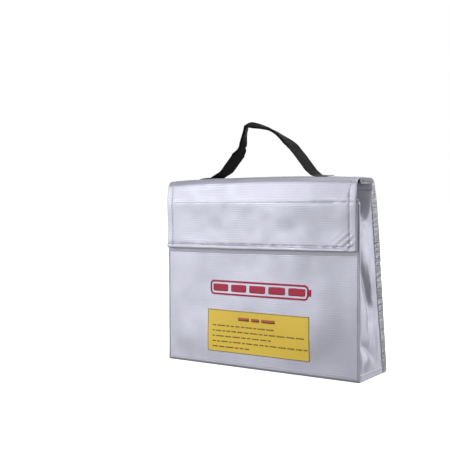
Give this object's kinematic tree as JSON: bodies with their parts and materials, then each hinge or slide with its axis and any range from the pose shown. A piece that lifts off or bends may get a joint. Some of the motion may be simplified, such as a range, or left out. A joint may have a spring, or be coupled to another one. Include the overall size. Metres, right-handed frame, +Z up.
{
  "type": "battery safety bag",
  "caption": "Fire-resistant fabric bag for storing and charging batteries, with side gussets, a hook-and-loop flap over the mouth and a webbing handle.",
  "frame": {"origin": "centre of the underside of the base", "axes": "+Z up through the mouth, +X to the bag's right seen from the front, +Y to the back wall; the front wall faces -Y"},
  "size_m": [0.24, 0.0672, 0.2676],
  "materials": {
    "silver_cloth": "silver coated glass-fibre cloth with fine cross ribs and a satin sheen",
    "overlock_seam": "folded coated cloth with overlock stitching",
    "fibre_lining": "matt off-white woven fibre cloth",
    "loop_tape": "white brushed loop pile",
    "hook_tape": "white hook strip, fine and regular",
    "webbing": "black woven polypropylene webbing",
    "label_film": "printed yellow label",
    "red_print": "screen-printed red ink"
  },
  "bodies": {
    "bag": {"back_lining": "fibre_lining", "back_panel": "silver_cloth", "battery_mark": "red_print", "bottom_lining": "fibre_lining", "bottom_panel": "silver_cloth", "front_label": "label_film", "front_lining": "fibre_lining", "front_panel": "silver_cloth", "left_base_hem": "silver_cloth", "left_front_seam": "overlock_seam", "left_gusset": "silver_cloth", "left_gusset_lining": "fibre_lining", "left_mouth_hem": "silver_cloth", "left_rear_seam": "overlock_seam", "loop_tape": "loop_tape", "right_base_hem": "silver_cloth", "right_front_seam": "overlock_seam", "right_gusset": "silver_cloth", "right_gusset_lining": "fibre_lining", "right_mouth_hem": "silver_cloth", "right_rear_seam": "overlock_seam"},
    "flap_top": {"flap_top_panel": "silver_cloth", "flap_top_lining": "fibre_lining", "flap_top_left_hem": "silver_cloth", "flap_top_right_hem": "silver_cloth", "rear_fold": "silver_cloth", "left_handle_anchor": "webbing", "right_handle_anchor": "webbing"},
    "flap_front": {"flap_front_panel": "silver_cloth", "flap_front_lining": "fibre_lining", "flap_left_hem": "silver_cloth", "flap_right_hem": "silver_cloth", "flap_bottom_hem": "silver_cloth", "hook_tape": "hook_tape", "front_fold": "silver_cloth"},
    "handle": {"handle_grip": "webbing", "left_handle_riser": "webbing", "right_handle_riser": "webbing"}
  },
  "joints": [
    {"name": "flap_rear_crease", "type": "hinge", "parent": "bag", "child": "flap_top", "pos_m": [0, 0.0069, 0.2029], "axis": [-1, 0, 0], "range_deg": [0, 135], "deforming": ["rear_fold"]},
    {"name": "flap_front_crease", "type": "hinge", "parent": "flap_top", "child": "flap_front", "pos_m": [0, -0.03184, 0.20157], "axis": [-1, 0, 0], "range_deg": [0, 90], "deforming": ["front_fold"]},
    {"name": "handle_swing", "type": "hinge", "parent": "flap_top", "child": "handle", "pos_m": [0, -0.0115, 0.209], "axis": [1, 0, 0], "range_deg": [-45, 75], "deforming": ["left_handle_riser", "right_handle_riser"]}
  ]
}
